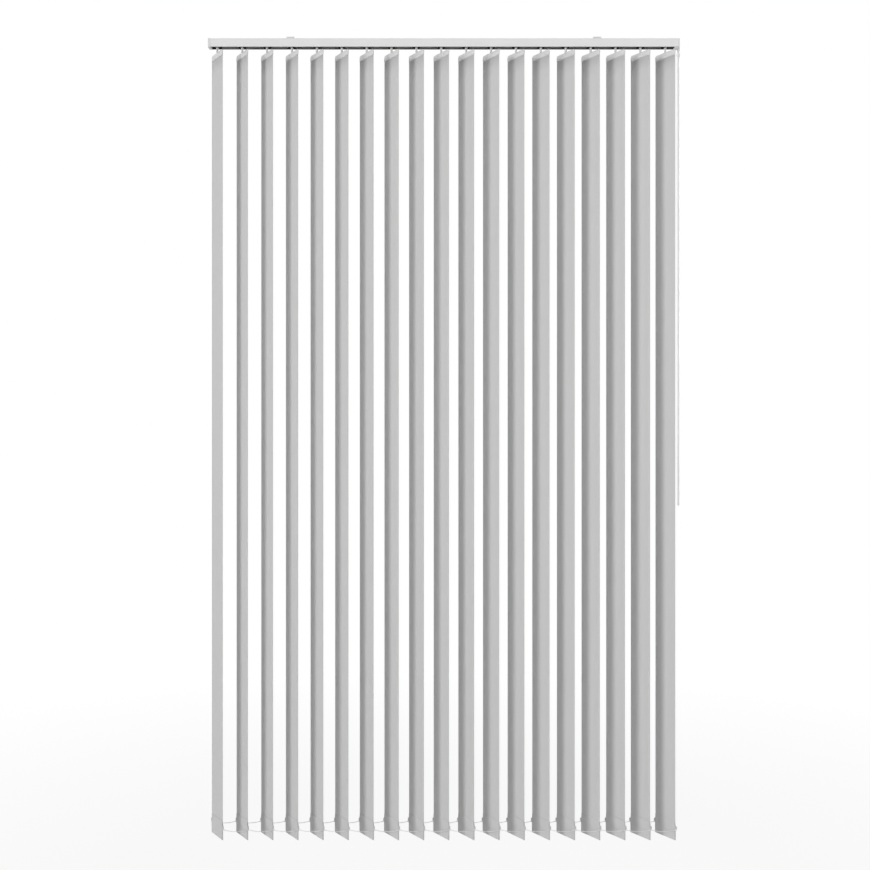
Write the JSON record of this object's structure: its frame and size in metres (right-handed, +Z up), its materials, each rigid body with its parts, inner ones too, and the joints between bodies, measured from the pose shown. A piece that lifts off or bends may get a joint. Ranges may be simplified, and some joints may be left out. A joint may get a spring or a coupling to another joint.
{
  "type": "vertical blind",
  "caption": "Ceiling-fixed vertical blind: fabric louvres on an aluminium headrail, drawn to one side and tilted by one hanging wand.",
  "frame": {"origin": "midway between the two ceiling screws, on the ceiling plane", "axes": "+X along the headrail towards the wand, -Y towards the room, +Z up"},
  "size_m": [1.5009, 0.099, 2.5475],
  "materials": {
    "rail_paint": "satin white powder coat",
    "cap_plastic": "satin",
    "clip_plastic": "satin",
    "rod_aluminium": "mill finish",
    "carrier_plastic": "satin",
    "arm_plastic": "satin",
    "wand_plastic": "smooth",
    "grip_plastic": "satin",
    "chain_plastic": "satin",
    "louvre_fabric": "fine woven, stiffened"
  },
  "bodies": {
    "headrail": {"headrail": "rail_paint", "end_cap_left": "cap_plastic", "end_cap_right": "cap_plastic", "ceiling_clips": "clip_plastic", "carrier_01": "carrier_plastic"},
    "tilt_rod": {"tilt_rod": "rod_aluminium"},
    "lead": {"lead_carrier": "arm_plastic", "carrier_19": "carrier_plastic"},
    "drive_sleeve": {"drive_sleeve": "carrier_plastic"},
    "swing_link": {"swing_link": "arm_plastic"},
    "wand_yoke": {"wand_yoke": "wand_plastic"},
    "wand": {"wand_rod": "wand_plastic", "wand_grip": "grip_plastic"},
    "carrier_02": {"carrier_02": "carrier_plastic"},
    "carrier_03": {"carrier_03": "carrier_plastic"},
    "carrier_04": {"carrier_04": "carrier_plastic"},
    "carrier_05": {"carrier_05": "carrier_plastic"},
    "carrier_06": {"carrier_06": "carrier_plastic"},
    "carrier_07": {"carrier_07": "carrier_plastic"},
    "carrier_08": {"carrier_08": "carrier_plastic"},
    "carrier_09": {"carrier_09": "carrier_plastic"},
    "carrier_10": {"carrier_10": "carrier_plastic"},
    "carrier_11": {"carrier_11": "carrier_plastic"},
    "carrier_12": {"carrier_12": "carrier_plastic"},
    "carrier_13": {"carrier_13": "carrier_plastic"},
    "carrier_14": {"carrier_14": "carrier_plastic"},
    "carrier_15": {"carrier_15": "carrier_plastic"},
    "carrier_16": {"carrier_16": "carrier_plastic"},
    "carrier_17": {"carrier_17": "carrier_plastic"},
    "carrier_18": {"carrier_18": "carrier_plastic"},
    "vane_01": {"vane_01": "louvre_fabric"},
    "vane_02": {"vane_02": "louvre_fabric"},
    "vane_03": {"vane_03": "louvre_fabric"},
    "vane_04": {"vane_04": "louvre_fabric"},
    "vane_05": {"vane_05": "louvre_fabric"},
    "vane_06": {"vane_06": "louvre_fabric"},
    "vane_07": {"vane_07": "louvre_fabric"},
    "vane_08": {"vane_08": "louvre_fabric"},
    "vane_09": {"vane_09": "louvre_fabric"},
    "vane_10": {"vane_10": "louvre_fabric"},
    "vane_11": {"vane_11": "louvre_fabric"},
    "vane_12": {"vane_12": "louvre_fabric"},
    "vane_13": {"vane_13": "louvre_fabric"},
    "vane_14": {"vane_14": "louvre_fabric"},
    "vane_15": {"vane_15": "louvre_fabric"},
    "vane_16": {"vane_16": "louvre_fabric"},
    "vane_17": {"vane_17": "louvre_fabric"},
    "vane_18": {"vane_18": "louvre_fabric"},
    "vane_19": {"vane_19": "louvre_fabric"},
    "front_chain": {"front_chain": "chain_plastic"},
    "back_chain": {"back_chain": "chain_plastic"}
  },
  "joints": [
    {"name": "lead_draw", "type": "slide", "parent": "headrail", "child": "lead", "axis": [1, 0, 0], "range_m": [-1.0332, 0], "deforming": ["front_chain", "back_chain"]},
    {"name": "carrier_02_draw", "type": "slide", "parent": "headrail", "child": "carrier_02", "axis": [1, 0, 0], "range_m": [-0.0574, 0]},
    {"name": "carrier_03_draw", "type": "slide", "parent": "headrail", "child": "carrier_03", "axis": [1, 0, 0], "range_m": [-0.1148, 0]},
    {"name": "carrier_04_draw", "type": "slide", "parent": "headrail", "child": "carrier_04", "axis": [1, 0, 0], "range_m": [-0.1722, 0]},
    {"name": "carrier_05_draw", "type": "slide", "parent": "headrail", "child": "carrier_05", "axis": [1, 0, 0], "range_m": [-0.2296, 0]},
    {"name": "carrier_06_draw", "type": "slide", "parent": "headrail", "child": "carrier_06", "axis": [1, 0, 0], "range_m": [-0.287, 0]},
    {"name": "carrier_07_draw", "type": "slide", "parent": "headrail", "child": "carrier_07", "axis": [1, 0, 0], "range_m": [-0.3444, 0]},
    {"name": "carrier_08_draw", "type": "slide", "parent": "headrail", "child": "carrier_08", "axis": [1, 0, 0], "range_m": [-0.4018, 0]},
    {"name": "carrier_09_draw", "type": "slide", "parent": "headrail", "child": "carrier_09", "axis": [1, 0, 0], "range_m": [-0.4592, 0]},
    {"name": "carrier_10_draw", "type": "slide", "parent": "headrail", "child": "carrier_10", "axis": [1, 0, 0], "range_m": [-0.5166, 0]},
    {"name": "carrier_11_draw", "type": "slide", "parent": "headrail", "child": "carrier_11", "axis": [1, 0, 0], "range_m": [-0.574, 0]},
    {"name": "carrier_12_draw", "type": "slide", "parent": "headrail", "child": "carrier_12", "axis": [1, 0, 0], "range_m": [-0.6314, 0]},
    {"name": "carrier_13_draw", "type": "slide", "parent": "headrail", "child": "carrier_13", "axis": [1, 0, 0], "range_m": [-0.6888, 0]},
    {"name": "carrier_14_draw", "type": "slide", "parent": "headrail", "child": "carrier_14", "axis": [1, 0, 0], "range_m": [-0.7462, 0]},
    {"name": "carrier_15_draw", "type": "slide", "parent": "headrail", "child": "carrier_15", "axis": [1, 0, 0], "range_m": [-0.8036, 0]},
    {"name": "carrier_16_draw", "type": "slide", "parent": "headrail", "child": "carrier_16", "axis": [1, 0, 0], "range_m": [-0.861, 0]},
    {"name": "carrier_17_draw", "type": "slide", "parent": "headrail", "child": "carrier_17", "axis": [1, 0, 0], "range_m": [-0.9184, 0]},
    {"name": "carrier_18_draw", "type": "slide", "parent": "headrail", "child": "carrier_18", "axis": [1, 0, 0], "range_m": [-0.9758, 0]},
    {"name": "vane_01_tilt", "type": "hinge", "parent": "headrail", "child": "vane_01", "pos_m": [-0.7225, 0, 0], "axis": [0, 0, 1], "range_deg": [-113.4, 48.6]},
    {"name": "vane_02_tilt", "type": "hinge", "parent": "carrier_02", "child": "vane_02", "pos_m": [-0.6431, 0, 0], "axis": [0, 0, 1], "range_deg": [-113.4, 48.6]},
    {"name": "vane_03_tilt", "type": "hinge", "parent": "carrier_03", "child": "vane_03", "pos_m": [-0.5637, 0, 0], "axis": [0, 0, 1], "range_deg": [-113.4, 48.6]},
    {"name": "vane_04_tilt", "type": "hinge", "parent": "carrier_04", "child": "vane_04", "pos_m": [-0.4843, 0, 0], "axis": [0, 0, 1], "range_deg": [-113.4, 48.6]},
    {"name": "vane_05_tilt", "type": "hinge", "parent": "carrier_05", "child": "vane_05", "pos_m": [-0.4049, 0, 0], "axis": [0, 0, 1], "range_deg": [-113.4, 48.6]},
    {"name": "vane_06_tilt", "type": "hinge", "parent": "carrier_06", "child": "vane_06", "pos_m": [-0.3255, 0, 0], "axis": [0, 0, 1], "range_deg": [-113.4, 48.6]},
    {"name": "vane_07_tilt", "type": "hinge", "parent": "carrier_07", "child": "vane_07", "pos_m": [-0.2461, 0, 0], "axis": [0, 0, 1], "range_deg": [-113.4, 48.6]},
    {"name": "vane_08_tilt", "type": "hinge", "parent": "carrier_08", "child": "vane_08", "pos_m": [-0.1667, 0, 0], "axis": [0, 0, 1], "range_deg": [-113.4, 48.6]},
    {"name": "vane_09_tilt", "type": "hinge", "parent": "carrier_09", "child": "vane_09", "pos_m": [-0.0873, 0, 0], "axis": [0, 0, 1], "range_deg": [-113.4, 48.6]},
    {"name": "vane_10_tilt", "type": "hinge", "parent": "carrier_10", "child": "vane_10", "pos_m": [-0.0079, 0, 0], "axis": [0, 0, 1], "range_deg": [-113.4, 48.6]},
    {"name": "vane_11_tilt", "type": "hinge", "parent": "carrier_11", "child": "vane_11", "pos_m": [0.0715, 0, 0], "axis": [0, 0, 1], "range_deg": [-113.4, 48.6]},
    {"name": "vane_12_tilt", "type": "hinge", "parent": "carrier_12", "child": "vane_12", "pos_m": [0.1509, 0, 0], "axis": [0, 0, 1], "range_deg": [-113.4, 48.6]},
    {"name": "vane_13_tilt", "type": "hinge", "parent": "carrier_13", "child": "vane_13", "pos_m": [0.2303, 0, 0], "axis": [0, 0, 1], "range_deg": [-113.4, 48.6]},
    {"name": "vane_14_tilt", "type": "hinge", "parent": "carrier_14", "child": "vane_14", "pos_m": [0.3097, 0, 0], "axis": [0, 0, 1], "range_deg": [-113.4, 48.6]},
    {"name": "vane_15_tilt", "type": "hinge", "parent": "carrier_15", "child": "vane_15", "pos_m": [0.3891, 0, 0], "axis": [0, 0, 1], "range_deg": [-113.4, 48.6]},
    {"name": "vane_16_tilt", "type": "hinge", "parent": "carrier_16", "child": "vane_16", "pos_m": [0.4685, 0, 0], "axis": [0, 0, 1], "range_deg": [-113.4, 48.6]},
    {"name": "vane_17_tilt", "type": "hinge", "parent": "carrier_17", "child": "vane_17", "pos_m": [0.5479, 0, 0], "axis": [0, 0, 1], "range_deg": [-113.4, 48.6]},
    {"name": "vane_18_tilt", "type": "hinge", "parent": "carrier_18", "child": "vane_18", "pos_m": [0.6273, 0, 0], "axis": [0, 0, 1], "range_deg": [-113.4, 48.6]},
    {"name": "vane_19_tilt", "type": "hinge", "parent": "lead", "child": "vane_19", "pos_m": [0.7067, 0, 0], "axis": [0, 0, 1], "range_deg": [-113.4, 48.6]},
    {"name": "tilt_rod_turn", "type": "hinge", "parent": "headrail", "child": "tilt_rod", "pos_m": [0, 0.008, -0.02], "axis": [1, 0, 0], "range_deg": [-908.2, 389.8]},
    {"name": "drive_sleeve_turn", "type": "hinge", "parent": "lead", "child": "drive_sleeve", "pos_m": [0.7294, 0.008, -0.02], "axis": [1, 0, 0], "range_deg": [-908.2, 389.8]},
    {"name": "wand_swing", "type": "hinge", "parent": "lead", "child": "swing_link", "pos_m": [0.7374, -0.05, -0.0555], "axis": [-1, 0, 0], "range_deg": [0, 30]},
    {"name": "wand_lean", "type": "hinge", "parent": "swing_link", "child": "wand_yoke", "pos_m": [0.7374, -0.05, -0.064], "axis": [0, 1, 0], "range_deg": [-25, 25]},
    {"name": "wand_twist", "type": "hinge", "parent": "wand_yoke", "child": "wand", "pos_m": [0.7374, -0.05, -0.076], "axis": [0, 0, 1], "range_deg": [-908.2, 389.8]},
    {"name": "front_chain_turn", "type": "hinge", "parent": "vane_01", "child": "front_chain", "pos_m": [-0.69638, -0.04116, -2.5065], "axis": [0, 0, 1], "range_deg": [-48.6, 113.4]},
    {"name": "back_chain_turn", "type": "hinge", "parent": "vane_01", "child": "back_chain", "pos_m": [-0.74862, 0.04116, -2.5065], "axis": [0, 0, 1], "range_deg": [-48.6, 113.4]}
  ],
  "couplings": [
    {"joint": "carrier_02_draw", "follows": "lead_draw", "ratio": 0.055556},
    {"joint": "carrier_03_draw", "follows": "lead_draw", "ratio": 0.11111},
    {"joint": "carrier_04_draw", "follows": "lead_draw", "ratio": 0.16667},
    {"joint": "carrier_05_draw", "follows": "lead_draw", "ratio": 0.22222},
    {"joint": "carrier_06_draw", "follows": "lead_draw", "ratio": 0.27778},
    {"joint": "carrier_07_draw", "follows": "lead_draw", "ratio": 0.33333},
    {"joint": "carrier_08_draw", "follows": "lead_draw", "ratio": 0.38889},
    {"joint": "carrier_09_draw", "follows": "lead_draw", "ratio": 0.44444},
    {"joint": "carrier_10_draw", "follows": "lead_draw", "ratio": 0.5},
    {"joint": "carrier_11_draw", "follows": "lead_draw", "ratio": 0.55556},
    {"joint": "carrier_12_draw", "follows": "lead_draw", "ratio": 0.61111},
    {"joint": "carrier_13_draw", "follows": "lead_draw", "ratio": 0.66667},
    {"joint": "carrier_14_draw", "follows": "lead_draw", "ratio": 0.72222},
    {"joint": "carrier_15_draw", "follows": "lead_draw", "ratio": 0.77778},
    {"joint": "carrier_16_draw", "follows": "lead_draw", "ratio": 0.83333},
    {"joint": "carrier_17_draw", "follows": "lead_draw", "ratio": 0.88889},
    {"joint": "carrier_18_draw", "follows": "lead_draw", "ratio": 0.94444},
    {"joint": "vane_02_tilt", "follows": "vane_01_tilt", "ratio": 1},
    {"joint": "vane_03_tilt", "follows": "vane_01_tilt", "ratio": 1},
    {"joint": "vane_04_tilt", "follows": "vane_01_tilt", "ratio": 1},
    {"joint": "vane_05_tilt", "follows": "vane_01_tilt", "ratio": 1},
    {"joint": "vane_06_tilt", "follows": "vane_01_tilt", "ratio": 1},
    {"joint": "vane_07_tilt", "follows": "vane_01_tilt", "ratio": 1},
    {"joint": "vane_08_tilt", "follows": "vane_01_tilt", "ratio": 1},
    {"joint": "vane_09_tilt", "follows": "vane_01_tilt", "ratio": 1},
    {"joint": "vane_10_tilt", "follows": "vane_01_tilt", "ratio": 1},
    {"joint": "vane_11_tilt", "follows": "vane_01_tilt", "ratio": 1},
    {"joint": "vane_12_tilt", "follows": "vane_01_tilt", "ratio": 1},
    {"joint": "vane_13_tilt", "follows": "vane_01_tilt", "ratio": 1},
    {"joint": "vane_14_tilt", "follows": "vane_01_tilt", "ratio": 1},
    {"joint": "vane_15_tilt", "follows": "vane_01_tilt", "ratio": 1},
    {"joint": "vane_16_tilt", "follows": "vane_01_tilt", "ratio": 1},
    {"joint": "vane_17_tilt", "follows": "vane_01_tilt", "ratio": 1},
    {"joint": "vane_18_tilt", "follows": "vane_01_tilt", "ratio": 1},
    {"joint": "vane_19_tilt", "follows": "vane_01_tilt", "ratio": 1},
    {"joint": "tilt_rod_turn", "follows": "vane_01_tilt", "ratio": 8},
    {"joint": "drive_sleeve_turn", "follows": "vane_01_tilt", "ratio": 8},
    {"joint": "wand_twist", "follows": "vane_01_tilt", "ratio": 8},
    {"joint": "front_chain_turn", "follows": "vane_01_tilt", "ratio": -1},
    {"joint": "back_chain_turn", "follows": "vane_01_tilt", "ratio": -1}
  ]
}
